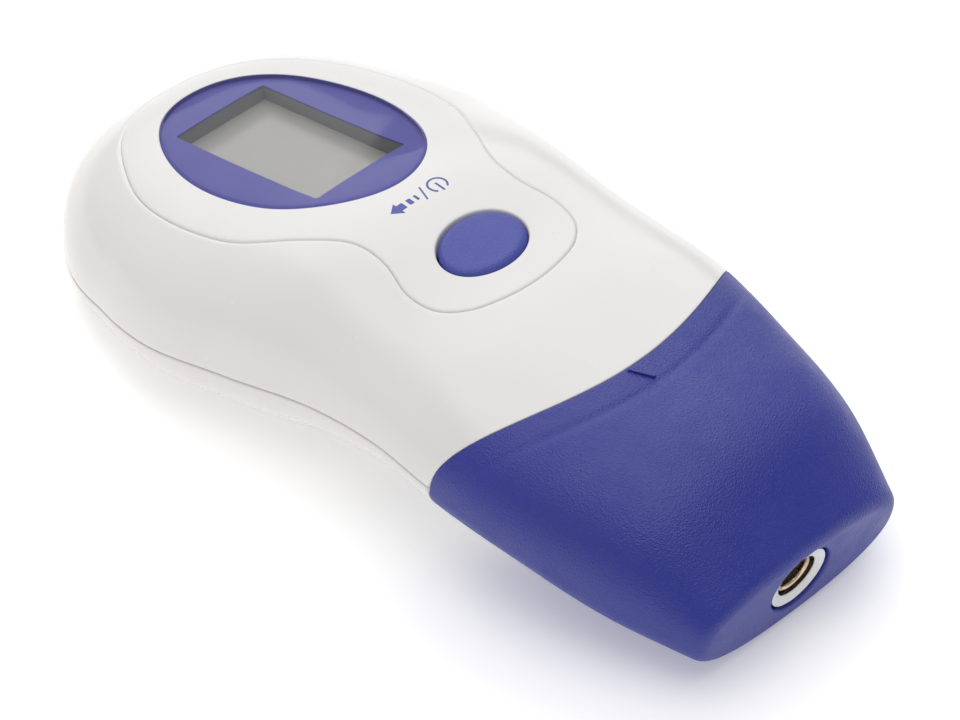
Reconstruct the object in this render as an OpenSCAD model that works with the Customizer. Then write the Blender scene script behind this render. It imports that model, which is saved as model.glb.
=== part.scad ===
// Digital ear and forehead thermometer: a mouse-shaped two-part case with an
// inlaid front panel, an oval display, one push button, a coin cell behind a
// screwed door, and a pull-off cap over the ear probe.
// Stations run along the body from the head end (0) to the cap's end face.
// +X is towards the probe tip, +Z up through the display, and the origin is
// under the middle of the whole object, on the surface that it rests on.

/* [Body] */
// Length from the head end to the middle of the cap's end face
body_l = 105; // [103:0.5:107]
// Greatest width, across the head
body_w = 51.6; // [51:0.2:53]
// Height of the crown between display and button
body_h = 25.3; // [25:0.1:26]
// Wall of both case halves and of the cap
wall = 1.6; // [1.5:0.1:1.7]
// Thickness of the inlaid front panel
panel_t = 2.8; // [2.7:0.1:3]

/* [Display] */
// Length of the oval display lens
lens_l = 36.4; // [36:0.1:36.6]
// Width of the oval display lens
lens_w = 24.5; // [24.2:0.1:24.7]
// Length of the clear window
window_l = 24.2; // [23:0.1:24.4]
// Width of the clear window
window_w = 12.9; // [12:0.1:13]
// Upward pitch of the display and circuit board towards the cap
deck_pitch = 11; // [10.5:0.5:11.5]

/* [Button] */
// Station of the button's middle
button_s = 57.7; // [57.2:0.1:58]
// Length of the button along the body
button_l = 7.4; // [7.2:0.1:7.7]
// Width of the button across the body
button_w = 11.1; // [10.8:0.1:11.4]
// Travel of the button
button_travel = 0.6; // [0.3:0.1:0.7]

/* [Probe and cap] */
// Downward pitch of the ear probe and of the cap's end face
probe_pitch = 12; // [11.5:0.5:12.5]
// Diameter of the ear probe at its tip
tip_d = 7.8; // [7.6:0.1:8]
// Station of the cap's edge on the crown
cap_s = 80.3; // [80:0.1:81]
// How far the cap's edge sweeps back at the sides
cap_bow = 5.8; // [5:0.1:6]
// Gap between the cap and the case
cap_gap = 0.2; // [0.15:0.05:0.3]

/* [Battery] */
// Station of the coin cell's middle
cell_s = 26; // [25.5:0.1:26.5]

/* [Hidden] */
$fn = 48;

// Case outline: [station / length, value / driving dimension]
PLAN = [[0.2, 0.955], [0.3, 1], [0.4, 0.938], [0.5, 0.872], [0.6, 0.858],
        [0.7, 0.866], [0.8, 0.812], [0.9, 0.725], [1, 0.574]];
CROWN = [[0, 0.695], [0.18, 0.763], [0.32, 0.877], [0.45, 1],
         [0.58, 0.94], [0.67, 0.917], [0.78, 0.85], [0.9, 0.765], [1, 0.482]];
PARTING = [[0, 0.134], [0.2, 0.277], [0.4, 0.403], [0.64, 0.526], [1, 0.261]];
BELLY = [[0, 0.06], [0.2, -0.05], [0.44, 0.025], [0.55, 0.16], [0.66, 0.23], [1, 0]];
// Half-outline of the front panel: [station / length, half-width / width]
GOURD = [[0.05, 0], [0.053, 0.055], [0.065, 0.125], [0.09, 0.195],
         [0.135, 0.265], [0.19, 0.319], [0.265, 0.34], [0.34, 0.322],
         [0.41, 0.253], [0.465, 0.198], [0.505, 0.193], [0.55, 0.214],
         [0.585, 0.2], [0.608, 0.152], [0.62, 0.08], [0.624, 0]];
head_s = 0.256 * body_l;   // station where the head's rounding ends
head_pw = 2.16;            // roundness of the head in plan
head_pz = 2.9;             // roundness of the head in side view
n_head = 2.74;             // squareness of the crown's section at the head
n_tip = 2.4;               // and at the tip
n_belly = 2.35;             // and of the belly's section
tilt_s = 0.672 * body_l;   // station where the sections start to tilt
cap_lean = 0.2;            // lean of the cap's edge, per mm of height
edge_r = 1.1;              // rounding of the cap's end
slack = 0.1;               // gap between fitted pieces that don't move
head_rows = 9;
body_rows = 9;
cap_rows = 9;
edge_rows = 4;
half_cols = 24;
screw_r = 0.9;
cell_d = 20;               // a standard coin cell
cell_t = 3.2;
CASE_SCREWS = [[14.5, 16.5], [14.5, -16.5], [61, 15], [61, -15]];
boss_r = 2.4;
floor_t = wall + 0.8;      // the belly is thicker, because it is cut flat
door_screw_s = cell_s + 12.4;
door_r = cell_d / 2 + 1.6;
door_t = 1.5;
cell_z = 2.1;

// ---- smooth curves through design points ----
function slope(p, k) =
    let (a = max(k - 1, 0), b = min(k + 1, len(p) - 1))
    (p[b][1] - p[a][1]) / (p[b][0] - p[a][0]);
function span_of(p, x) = max([for (k = [0 : len(p) - 2]) if (x >= p[k][0]) k]);
function curve(p, x0) =
    let (x = min(max(x0, p[0][0]), p[len(p) - 1][0]), k = span_of(p, x),
         h = p[k + 1][0] - p[k][0], t = (x - p[k][0]) / h)
    (2 * t ^ 3 - 3 * t ^ 2 + 1) * p[k][1]
    + (t ^ 3 - 2 * t ^ 2 + t) * h * slope(p, k)
    + (3 * t ^ 2 - 2 * t ^ 3) * p[k + 1][1]
    + (t ^ 3 - t ^ 2) * h * slope(p, k + 1);
function half_width(s) = body_w / 2 * curve(PLAN, s / body_l);
function crown_z(s) = body_h * curve(CROWN, s / body_l);
function parting_z(s) = body_h * curve(PARTING, s / body_l);
function belly_z(s) = body_h * curve(BELLY, s / body_l);

// ---- the case surface, moved inwards by an inset ----
function closing(s, inset, p) =
    s >= head_s ? 1 : (1 - (min((head_s - s) / (head_s - inset), 1)) ^ p) ^ (1 / p);
function side(s, inset) = (half_width(s) - inset) * closing(s, inset, head_pw);
function rise(s, inset) =
    (crown_z(s) - parting_z(s) - inset) * closing(s, inset, head_pz);
function drop(s, inset) =
    (parting_z(s) - belly_z(s) - inset) * closing(s, inset, head_pz);
function upper_n(s) = n_head + (n_tip - n_head) * min(max(s / body_l * 2 - 1, 0), 1);
function ease(t) = let (c = min(max(t, 0), 1)) c * c * (3 - 2 * c);
function tilt(s) = probe_pitch * ease((s - tilt_s) / (body_l - tilt_s));
function power_sign(v, p) = sign(v) * abs(v) ^ p;
// Height above the parting surface at an angle around the section
function lift(s, a, inset) =
    sin(a) >= 0 ? rise(s, inset) * sin(a) ^ (2 / upper_n(s))
                : -drop(s, inset) * (-sin(a)) ^ (2 / n_belly);
function skin(s, a, inset) =
    let (n = sin(a) >= 0 ? upper_n(s) : n_belly, h = lift(s, a, inset))
    [s - mid_s + h * sin(tilt(s)), side(s, inset) * power_sign(cos(a), 2 / n),
     parting_z(s) + h * cos(tilt(s))];
// Height of the crown's surface over a point of the plan
function crown_at(s, y, inset = 0) =
    let (n = upper_n(s), w = side(s, inset))
    parting_z(s) + rise(s, inset) * (1 - min(abs(y) / w, 1) ^ n) ^ (1 / n);
function belly_at(s, y, inset = 0) =
    parting_z(s) - drop(s, inset)
    * (1 - min(abs(y) / side(s, inset), 1) ^ n_belly) ^ (1 / n_belly);
// Station of the cap's edge at an angle around the section
function seam_s(a) =
    let (n = sin(a) >= 0 ? upper_n(cap_s) : n_belly,
         down = rise(cap_s, 0) - lift(cap_s, a, 0))
    cap_s - cap_bow * abs(cos(a)) ^ (4 / n) - cap_lean * down;

overhang = (rise(body_l, 0) - edge_r) * sin(probe_pitch);
mid_s = (body_l + overhang) / 2;
tip_z = parting_z(body_l) + 0.1;   // height of the probe's axis at the end face

// ---- closed solids from grids of points ----
function flat(rows) = [for (r = rows) for (p = r) p];
// Triangles of a strip of rows; closed strips join the last column to the first
function strip(first, rows, cols, closed, flip) =
    [for (i = [0 : rows - 2]) for (j = [0 : cols - (closed ? 1 : 2)])
        let (k = (j + 1) % cols, a = first + i * cols + j, b = first + i * cols + k,
             c = a + cols, d = b + cols)
        for (f = [[a, d, b], [a, c, d]]) flip ? [f[2], f[1], f[0]] : f];
// Ring of triangles between one row of points and another
function bridge(a, b, flip) =
    [for (j = [0 : len(a) - 2]) for (f = [[a[j], b[j + 1], a[j + 1]], [a[j], b[j], b[j + 1]]])
        flip ? [f[2], f[1], f[0]] : f];
function fan(tip, ring, flip) =
    [for (j = [0 : len(ring) - 2]) flip ? [tip, ring[j], ring[j + 1]] : [tip, ring[j + 1], ring[j]]];

// Half of the case from the head end to the cap's edge, from angle a0 to a1
module half_case(a0, a1, inset, gap) {
    cols = half_cols + 1;
    rows = head_rows + body_rows;
    function angle(j) = a0 + (a1 - a0) * j / half_cols;
    function row_s(i, a, inner) =
        i <= head_rows
        ? inner + (head_s - inner) * (1 - cos(90 * i / head_rows))
        : head_s + (seam_s(a) - head_s) * (i - head_rows) / body_rows;
    function down(p) = [p[0], p[1], p[2] - gap];
    function row(i, inner) =
        [for (j = [0 : half_cols]) down(skin(row_s(i, angle(j), inner), angle(j), inner))];
    outer = [for (i = [1 : rows]) row(i, 0)];
    inner = [for (i = [1 : rows]) row(i, inset)];
    n = rows * cols;
    pole = 2 * n;
    points = concat(flat(outer), flat(inner), [down(skin(0, a0, 0)), down(skin(inset, a0, inset))]);
    first = [for (j = [0 : half_cols]) j];
    last = [for (j = first) j + (rows - 1) * cols];
    left = [pole, for (i = [0 : rows - 1]) i * cols];
    right = [pole, for (i = [0 : rows - 1]) i * cols + half_cols];
    function in(list) = [for (v = list) v == pole ? pole + 1 : v + n];
    polyhedron(points, concat(
        strip(0, rows, cols, false, false), strip(n, rows, cols, false, true),
        fan(pole, first, true), fan(pole + 1, in(first), false),
        bridge(last, in(last), false),
        bridge(left, in(left), false), bridge(right, in(right), true)), convexity = 4);
}

// Closed hollow solid from full rings outside and inside, open at its first rings
module thimble(outer, inner) {
    cols = len(outer[0]);
    a = len(outer) * cols;
    b = a + len(inner) * cols;
    function ring(first) = [for (j = [0 : cols]) first + j % cols];
    function middle(r) = [for (k = [0 : 2]) (r[0][k] + r[cols / 2][k]) / 2];
    polyhedron(concat(flat(outer), flat(inner),
                      [middle(outer[len(outer) - 1]), middle(inner[len(inner) - 1])]),
        concat(strip(0, len(outer), cols, true, false), strip(a, len(inner), cols, true, true),
               bridge(ring(0), ring(a), true),
               fan(b, ring(a - cols), false), fan(b + 1, ring(b - cols), true)),
        convexity = 4);
}
function turn(j) = 360 * j / (2 * half_cols);
function ring_at(s_of_angle, inset) =
    [for (j = [0 : 2 * half_cols - 1]) skin(s_of_angle(turn(j)), turn(j), inset)];

// ---- frames ----
// Display frame: origin on the crown over the display's middle, +Z out of it
deck_s = 0.259 * body_l;
module on_deck() {
    translate([deck_s - mid_s, 0, crown_z(deck_s)]) rotate([0, -deck_pitch, 0]) children();
}
// Probe frame: +Z along the probe, out of its tip, with 0 at the cap's end face
module on_probe() {
    translate([body_l - mid_s, 0, tip_z]) rotate([0, 90 + probe_pitch, 0]) children();
}
module at_station(s, y = 0, z = 0) { translate([s - mid_s, y, z]) children(); }
module oval(l, w, steps = 60) {
    polygon([for (k = [0 : steps - 1]) [l / 2 * cos(360 * k / steps), w / 2 * sin(360 * k / steps)]]);
}
module rounded(l, w, r) {
    square([l - 2 * r, w], center = true);
    square([l, w - 2 * r], center = true);
    for (x = [-1, 1]) for (y = [-1, 1]) translate([x * (l / 2 - r), y * (w / 2 - r)]) circle(r);
}
module slab(z0, z1) { translate([0, 0, z0]) linear_extrude(z1 - z0) children(); }
module post(r, z0, z1) { translate([0, 0, z0]) cylinder(r = r, h = z1 - z0); }

// Front panel's outline in plan, grown by a margin
function gourd_y(u) = body_w * curve(GOURD, u);
module gourd(grow) {
    n = 30;
    u0 = GOURD[0][0];
    u1 = GOURD[len(GOURD) - 1][0];
    us = [for (k = [1 : n - 1]) u0 + (u1 - u0) * (1 - cos(180 * k / n)) / 2];
    m = (u0 + u1) / 2;
    half = [for (u = us) [u * body_l + grow * sin(90 * (u - m) / (u1 - m)), gourd_y(u) + grow]];
    ends = [[u0 * body_l - grow, 0], [u1 * body_l + grow, 0]];
    translate([-mid_s, 0]) polygon(concat([ends[0]], half, [ends[1]],
        [for (k = [len(half) - 1 : -1 : 0]) [half[k][0], -half[k][1]]]));
}

// ---- case ----
lens_t = 0.5;           // the lens follows the crown
mask_t = 0.25;          // printed sheet under the lens
lens_seat = 0.85;       // depth of the lens seat below the crown
panel_floor = 9.5;      // lowest point that the panel's opening is cut to
function on_deck_a(q) = (q - deck_s) * cos(deck_pitch)
    + (crown_z(q) - crown_z(deck_s)) * sin(deck_pitch);
function on_deck_h(q) = (crown_z(q) - crown_z(deck_s)) * cos(deck_pitch)
    - (q - deck_s) * sin(deck_pitch);
button_a = on_deck_a(button_s);   // button's place along the display frame
button_h = on_deck_h(button_s);   // and the crown's height there
window_a = -0.5;         // window's place along the display frame
pcb_top = -8.6;
pcb_t = 1;
module upper_shell() color("whitesmoke") {
    difference() {
        union() {
            half_case(0, 180, wall, 0);
            for (p = CASE_SCREWS) at_station(p[0], p[1])
                post(boss_r, parting_z(p[0]) + 0.3, crown_at(p[0], abs(p[1]) + boss_r) - 1);
        }
        slab(panel_floor, 40) gourd(slack);
        for (p = CASE_SCREWS) at_station(p[0], p[1])
            post(screw_r + 0.05, parting_z(p[0]) - 1, parting_z(p[0]) + 6);
    }
}
module front_panel() color("white") {
    difference() {
        intersection() {
            half_case(0, 180, panel_t, 0);
            slab(panel_floor - 2, 40) gourd(0);
        }
        on_deck() {
            slab(-9, 9) oval(lens_l - 1.4, lens_w - 1.4);
            slab(-9, -1.95) square([30.6, 21.4], center = true);
            translate([button_a, 0]) slab(-9, 9) oval(button_l + 0.4, button_w + 0.4);
        }
        intersection() {
            half_case(0, 180, lens_seat + 0.5, -0.5);
            on_deck() slab(-4, 4) oval(lens_l + 2 * slack, lens_w + 2 * slack);
        }
    }
}
module lower_shell() color("whitesmoke") {
    difference() {
        union() {
            half_case(180, 360, floor_t, slack);
            for (p = CASE_SCREWS) at_station(p[0], p[1])
                post(boss_r + 0.6, belly_at(p[0], abs(p[1]) + boss_r + 0.6) + 0.3, parting_z(p[0]) - 0.3);
        }
        translate([-60, -30, -4]) cube([120, 60, 4]);
        slab(-1, 4) door_outline(slack);
        for (p = CASE_SCREWS) at_station(p[0], p[1]) {
            post(screw_r + 0.2, -1, parting_z(p[0]) + 1);
            post(2.1, -1, belly_at(p[0], p[1]) + 2.4);
        }
    }
}
module door_outline(grow) {
    at_station(cell_s) circle(door_r + grow);
    at_station(door_screw_s) circle(3.4 + grow);
    at_station((cell_s + door_screw_s) / 2) square([door_screw_s - cell_s, 6.8 + 2 * grow], center = true);
}
module case_screws() color("silver") {
    for (p = CASE_SCREWS) at_station(p[0], p[1]) {
        seat = belly_at(p[0], p[1]) + 2.38;
        post(1.9, seat - 1.3, seat);
        post(screw_r, seat - 0.1, parting_z(p[0]) + 5.5);
    }
}

// ---- display stack ----
module display_lens() color([0.3, 0.3, 0.6, 0.5]) {
    intersection() {
        half_case(0, 180, lens_t, 0);
        on_deck() slab(-4, 4) oval(lens_l, lens_w);
    }
}
module display_mask() color([0.3, 0.3, 0.6]) {
    difference() {
        intersection() {
            half_case(0, 180, mask_t, lens_t + 0.03);
            on_deck() slab(-4, 4) oval(lens_l - 0.4, lens_w - 0.4);
        }
        on_deck() translate([window_a, 0]) slab(-4, 4) square([window_l, window_w], center = true);
    }
}
module lcd_frame() color("dimgray") {
    on_deck() difference() {
        union() {
            slab(pcb_top, -2) square([30, 20.8], center = true);
            slab(-2.3, -1.25) square([25.8, 14.4], center = true);
            for (x = [-1, 1]) for (y = [-1, 1]) translate([x * 16.4, y * 7.6]) post(1.9, pcb_top, -5.6);
        }
        translate([window_a, 0]) slab(-4, 0) square([window_l + 0.4, window_w + 0.4], center = true);
        slab(pcb_top - 1, -2.7) square([27.4, 18.4], center = true);
        for (x = [-1, 1]) for (y = [-1, 1]) translate([x * 16.4, y * 7.6]) post(0.8, pcb_top - 1, -6.2);
    }
}
module lcd_panel() color("darkseagreen") {
    on_deck() slab(-4.7, -2.72) square([27, 18], center = true);
}
module lcd_reflector() color("gainsboro") {
    on_deck() slab(-5.2, -4.72) square([26.6, 14], center = true);
}
module zebra_strips() color("salmon") {
    on_deck() for (y = [-1, 1]) translate([0, y * 8.1]) slab(pcb_top, -4.72) square([24, 1.6], center = true);
}

// ---- circuit board ----
module main_pcb() color("darkgreen") {
    on_deck() difference() {
        slab(pcb_top - pcb_t, pcb_top) {
            translate([1.5, 0]) rounded(36, 27, 3);
            translate([22, 0]) rounded(28, 22, 2);
        }
        for (x = [-1, 1]) for (y = [-1, 1]) translate([x * 16.4, y * 7.6])
            post(0.85, pcb_top - 2, pcb_top + 1);
    }
}
module controller_chip() color("black") {
    on_deck() translate([9, 3]) slab(pcb_top - pcb_t - 1.2, pcb_top - pcb_t) square([9, 9], center = true);
}
module board_components() color("tan") {
    on_deck() {
        for (y = [-1, 1]) for (k = [0 : 5]) translate([20 + 2.4 * k, 9 * y])
            slab(pcb_top, pcb_top + 0.7) square([0.9, 1.8], center = true);
        for (k = [0 : 3]) translate([19.6 + 3 * k, -9]) slab(pcb_top - pcb_t - 0.8, pcb_top - pcb_t)
            square([1.2, 2.2], center = true);
    }
}
module crystal() color("silver") {
    on_deck() translate([24, 4.3]) slab(pcb_top, pcb_top + 1.1) rounded(3.2, 7, 1.5);
}
module pcb_screws() color("silver") {
    on_deck() for (x = [-1, 1]) for (y = [-1, 1]) translate([x * 16.4, y * 7.6]) {
        post(1.6, pcb_top - pcb_t - 1.1, pcb_top - pcb_t - 0.02);
        post(0.78, pcb_top - pcb_t - 0.1, -6.4);
    }
}
module hall_sensor() color("black") {
    at_station(80.5, 7, 15.2) slab(-0.5, 0.5) square([3, 2], center = true);
}
module buzzer() color("goldenrod") {
    on_deck() translate([28, 0]) post(6, pcb_top - pcb_t - 2.6, pcb_top - pcb_t);
}

// ---- button ----
plunger_top = pcb_top + 3 + button_travel;
module switch_base() color("dimgray") {
    on_deck() translate([button_a, 0]) difference() {
        slab(pcb_top, pcb_top + 2.6) square([6, 6], center = true);
        post(1.4, pcb_top + 1.2, pcb_top + 3);
    }
}
module switch_plunger() color("black") {
    on_deck() translate([button_a, 0]) post(1.3, pcb_top + 2, plunger_top);
}
module power_button() color([0.3, 0.32, 0.62]) {
    intersection() {
        half_case(0, 180, 4, -0.3);
        on_deck() translate([button_a, 0]) slab(button_h - 1.6, button_h + 3) oval(button_l, button_w);
    }
    on_deck() translate([button_a, 0]) post(2, plunger_top, button_h - 1.5);
}

// ---- battery ----
module battery_tray() color("lightgray") {
    at_station(cell_s) difference() {
        post(cell_d / 2 + 1.4, door_t + 0.3, cell_z + cell_t + 1.8);
        post(cell_d / 2 + 0.2, door_t, cell_z + cell_t + 0.8);
        post(4, 0, 20);
    }
    at_station(door_screw_s) difference() {
        post(2.4, door_t + 0.3, cell_z + cell_t + 1.8);
        post(screw_r + 0.1, 0, cell_z + cell_t + 1);
    }
}
module coin_cell() color("silver") {
    at_station(cell_s, 0, cell_z) rotate_extrude() polygon([
        [0, 0], [cell_d / 2 - 0.4, 0], [cell_d / 2, 0.4], [cell_d / 2, 2.4],
        [cell_d / 2 - 0.5, 2.9], [8.6, 2.9], [8.3, cell_t], [0, cell_t]]);
}
module positive_contact() color("gold") {
    at_station(cell_s) intersection() {
        difference() {
            post(cell_d / 2 + 1.85, 4, 8.6);
            post(cell_d / 2 + 1.5, 3, 9);
        }
        translate([0, -13, 6]) cube([6, 6, 12], center = true);
    }
}
module negative_contact() color("gold") {
    at_station(cell_s) {
        slab(cell_z + cell_t + 0.02, cell_z + cell_t + 0.3) rounded(6, 3, 1);
        post(0.8, cell_z + cell_t + 0.2, cell_z + cell_t + 2.6);
    }
}
module battery_door() color("white") {
    difference() {
        slab(0, door_t) door_outline(0);
        at_station(door_screw_s) {
            post(screw_r + 0.1, -1, 4);
            post(2, -1, 0.9);
        }
    }
}
module door_screw() color("silver") {
    at_station(door_screw_s) {
        post(1.9, 0.1, 0.88);
        post(screw_r, 0.5, 5.6);
    }
}

// ---- probe ----
// Ring of a given radius around the probe's axis, at a height in the probe frame
function probe_ring(r, z) =
    [for (j = [0 : 2 * half_cols - 1]) let (u = r * sin(turn(j)))
        [body_l - mid_s + z * cos(probe_pitch) + u * sin(probe_pitch), r * cos(turn(j)),
         tip_z - z * sin(probe_pitch) + u * cos(probe_pitch)]];
function mix(a, b, t) = [for (j = [0 : len(a) - 1]) a[j] * (1 - t) + b[j] * t];
collar_s = 84;          // front of the collar that the cap slides over
neck_z = -17;           // where the collar has narrowed to the probe
module nose_frame() color("white") {
    collar = ring_at(function (a) collar_s, wall + 0.7);
    shoulder = ring_at(function (a) collar_s + 0.9, wall + 1);
    difference() {
        thimble(
            [ring_at(function (a) seam_s(a) - 4, floor_t + 0.5),
             ring_at(function (a) seam_s(a), floor_t + 0.5),
             ring_at(function (a) seam_s(a) + 0.2, wall + 0.35),
             collar, shoulder, mix(shoulder, probe_ring(5.6, neck_z), 0.6),
             probe_ring(5.5, neck_z), probe_ring(5, neck_z + 4)],
            [ring_at(function (a) seam_s(a) - 4, floor_t + 1.3),
             ring_at(function (a) seam_s(a) + 0.1, floor_t + 1.3),
             ring_at(function (a) collar_s - 0.8, wall + 2.2),
             mix(shoulder, probe_ring(4.9, neck_z - 1), 0.6), probe_ring(4.7, neck_z - 1)]);
        on_probe() post(4.15, -22, 0);
    }
}
// The ear probe's outside: [distance behind its tip, radius]
PROBE = [[0, tip_d / 2 - 0.5], [0.15, tip_d / 2 - 0.2], [0.5, tip_d / 2], [8, 4.1], [21, 4.1]];
tip_back = 0.3;         // how far the probe's tip lies behind the end face
tube_r = 2.6;
module ear_probe() color("white") {
    on_probe() rotate_extrude() polygon(concat(
        [for (p = PROBE) [p[1], -tip_back - p[0]]],
        [[3.4, -21.6], [3.4, -12], [tube_r + 0.05, -12], [tube_r + 0.05, -tip_back]]));
}
module waveguide_tube() color("burlywood") {
    on_probe() rotate_extrude() polygon([
        [1.9, -11.9], [tube_r, -11.9], [tube_r, -tip_back - 0.5],
        [tube_r - 0.25, -tip_back - 0.3], [1.9, -tip_back - 1.2]]);
}
module sensor_can() color("silver") {
    on_probe() rotate_extrude() polygon([
        [0, -12.1], [2.35, -12.1], [2.35, -14.6], [2.75, -14.6], [2.75, -15], [0, -15]]);
}
module sensor_holder() color("goldenrod") {
    on_probe() difference() {
        post(3.35, -20, -12.05);
        post(2.4, -14.62, -11);
        post(2.8, -18, -14.58);
        post(2, -21, -17);
    }
}
module sensor_flex() color("peru") {
    // Points of the ribbon's lower edge, from the board to the sensor
    path = [[64.5, 18.3], [68, 16.6], [74, 12.4], [82, 11.6], [87.5, 10.6]];
    rotate([90, 0, 0]) translate([-mid_s, 0, -1.5]) linear_extrude(3)
        polygon(concat(path, [for (k = [len(path) - 1 : -1 : 0]) path[k] + [0.05, 0.3]]));
}

// ---- cap ----
function mouth_s(a) = seam_s(a) + cap_gap;
module cap() color([0.27, 0.28, 0.55]) {
    outer = [for (i = [0 : cap_rows]) ring_at(
                 function (a) mouth_s(a) + (body_l - edge_r - mouth_s(a)) * i / cap_rows, 0),
             for (k = [1 : edge_rows]) ring_at(function (a) body_l - edge_r * (1 - sin(90 * k / edge_rows)),
                                               edge_r * (1 - cos(90 * k / edge_rows)))];
    inner = [for (i = [0 : cap_rows]) ring_at(
        function (a) mouth_s(a) + (body_l - wall - mouth_s(a)) * i / cap_rows, wall)];
    difference() {
        thimble(outer, inner);
        on_probe() {
            post(tip_d / 2 + 0.35, -6, 1);
            translate([0, 0, -0.5]) cylinder(r1 = tip_d / 2 + 0.3, r2 = tip_d / 2 + 0.6, h = 0.6);
        }
    }
}
magnet_s = 90;
magnet_y = 9;
module cap_magnet() color("silver") {
    at_station(magnet_s, magnet_y, crown_at(magnet_s, magnet_y) - wall) post(1.5, -2.9, -1);
}

upper_shell();
lower_shell();
front_panel();
display_lens();
display_mask();
lcd_frame();
lcd_panel();
lcd_reflector();
zebra_strips();
main_pcb();
controller_chip();
board_components();
crystal();
hall_sensor();
switch_base();
switch_plunger();
power_button();
buzzer();
battery_tray();
coin_cell();
positive_contact();
negative_contact();
battery_door();
door_screw();
case_screws();
pcb_screws();
nose_frame();
ear_probe();
waveguide_tube();
sensor_can();
sensor_holder();
sensor_flex();
cap();
cap_magnet();
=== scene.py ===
import math

import bmesh
import bpy
import numpy as np
from mathutils import Matrix, Vector
from mathutils.geometry import delaunay_2d_cdt
from mathutils.kdtree import KDTree


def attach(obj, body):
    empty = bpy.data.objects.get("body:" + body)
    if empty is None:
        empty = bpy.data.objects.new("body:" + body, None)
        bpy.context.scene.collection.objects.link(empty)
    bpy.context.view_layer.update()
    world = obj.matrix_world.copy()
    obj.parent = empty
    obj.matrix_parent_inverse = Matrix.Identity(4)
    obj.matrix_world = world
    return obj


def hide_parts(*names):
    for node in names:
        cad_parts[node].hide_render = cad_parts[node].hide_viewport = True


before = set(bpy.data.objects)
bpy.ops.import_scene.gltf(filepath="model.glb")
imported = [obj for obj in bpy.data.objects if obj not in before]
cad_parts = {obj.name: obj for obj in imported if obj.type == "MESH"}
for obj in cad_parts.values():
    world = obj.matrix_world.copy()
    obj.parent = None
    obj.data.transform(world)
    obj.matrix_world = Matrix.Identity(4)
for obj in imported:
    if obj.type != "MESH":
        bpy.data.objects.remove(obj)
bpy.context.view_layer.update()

# ---------------------------------------------------------------- the case's surface, in millimetres
# A station s runs along the case from the end of its head, and the frame's x is s - MID_S. The outlines give,
# at parts of the length, the half-width as a part of BODY_W / 2 and the heights as parts of BODY_H.
MM = 0.001
BODY_L, BODY_W, BODY_H = 105.0, 51.6, 25.3
WALL, FLOOR_T, PANEL_T = 1.6, 2.4, 1.3
PLAN = [[0.2, 0.955], [0.3, 1], [0.4, 0.938], [0.5, 0.872], [0.6, 0.858],
        [0.7, 0.866], [0.8, 0.812], [0.9, 0.725], [1, 0.574]]
CROWN = [[0, 0.695], [0.18, 0.763], [0.32, 0.877], [0.45, 1],
         [0.58, 0.94], [0.67, 0.917], [0.78, 0.85], [0.9, 0.765], [1, 0.482]]
PARTING = [[0, 0.134], [0.2, 0.277], [0.4, 0.403], [0.64, 0.526], [1, 0.261]]
BELLY = [[0, 0.06], [0.2, -0.05], [0.44, 0.025], [0.55, 0.16], [0.66, 0.23], [1, 0]]
GOURD = [[0.05, 0], [0.053, 0.055], [0.065, 0.125], [0.09, 0.195],
         [0.135, 0.265], [0.19, 0.319], [0.265, 0.34], [0.34, 0.322],
         [0.41, 0.253], [0.465, 0.198], [0.505, 0.193], [0.55, 0.214],
         [0.585, 0.2], [0.608, 0.152], [0.62, 0.08], [0.624, 0]]
HEAD_S = 0.256 * BODY_L
HEAD_PW, HEAD_PZ = 2.16, 2.9
N_HEAD, N_TIP, N_BELLY = 2.74, 2.4, 2.35
TILT_S = 0.672 * BODY_L
PITCH = math.radians(12)
# the cap's edge on the crown, its bow and lean towards the head, its gap, and the end face's rounding
CAP_S, CAP_BOW, CAP_LEAN, CAP_GAP, END_R = 80.3, 5.8, 0.2, 0.03, 1.1
DECK_S, DECK_PITCH = 0.259 * BODY_L, math.radians(11)
LENS_L, LENS_W, WINDOW_L, WINDOW_W, WINDOW_AT = 36.4, 24.5, 24.2, 13.2, -0.5
BUTTON_S, BUTTON_L, BUTTON_W = 57.7, 7.4, 11.1
TIP_D, TUBE_R, TIP_BACK = 7.8, 2.6, 0.3
CELL_S, DOOR_SCREW_S, DOOR_R, DOOR_T = 26.0, 38.4, 11.6, 1.5
CASE_SCREWS = [(14.5, 16.5), (14.5, -16.5), (61, 15), (61, -15)]
SLACK = 0.1


def curve(points, x):
    """A smooth curve through points of growing x."""
    p = np.array(points, float)
    xs, vs = p[:, 0], p[:, 1]
    m = np.empty(len(xs))
    m[1:-1] = (vs[2:] - vs[:-2]) / (xs[2:] - xs[:-2])
    m[0] = (vs[1] - vs[0]) / (xs[1] - xs[0])
    m[-1] = (vs[-1] - vs[-2]) / (xs[-1] - xs[-2])
    x = np.clip(x, xs[0], xs[-1])
    k = np.clip(np.searchsorted(xs, x, side="right") - 1, 0, len(xs) - 2)
    h = xs[k + 1] - xs[k]
    t = (x - xs[k]) / h
    return ((2 * t ** 3 - 3 * t ** 2 + 1) * vs[k] + (t ** 3 - 2 * t ** 2 + t) * h * m[k]
            + (3 * t ** 2 - 2 * t ** 3) * vs[k + 1] + (t ** 3 - t ** 2) * h * m[k + 1])


def half_width(s):
    return BODY_W / 2 * curve(PLAN, s / BODY_L)


def crown_z(s):
    return BODY_H * curve(CROWN, s / BODY_L)


def parting_z(s):
    return BODY_H * curve(PARTING, s / BODY_L)


def belly_z(s):
    return BODY_H * curve(BELLY, s / BODY_L)


def closing(s, inset, p):
    """How the head rounds off: 0 at its end, 1 from HEAD_S on."""
    q = np.clip((HEAD_S - s) / (HEAD_S - inset), 0, 1)
    return (1 - q ** p) ** (1 / p)


def side(s, inset=0.0):
    """Half the case's width; rise and drop are its heights over and under the parting line."""
    return (half_width(s) - inset) * closing(s, inset, HEAD_PW)


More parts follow.
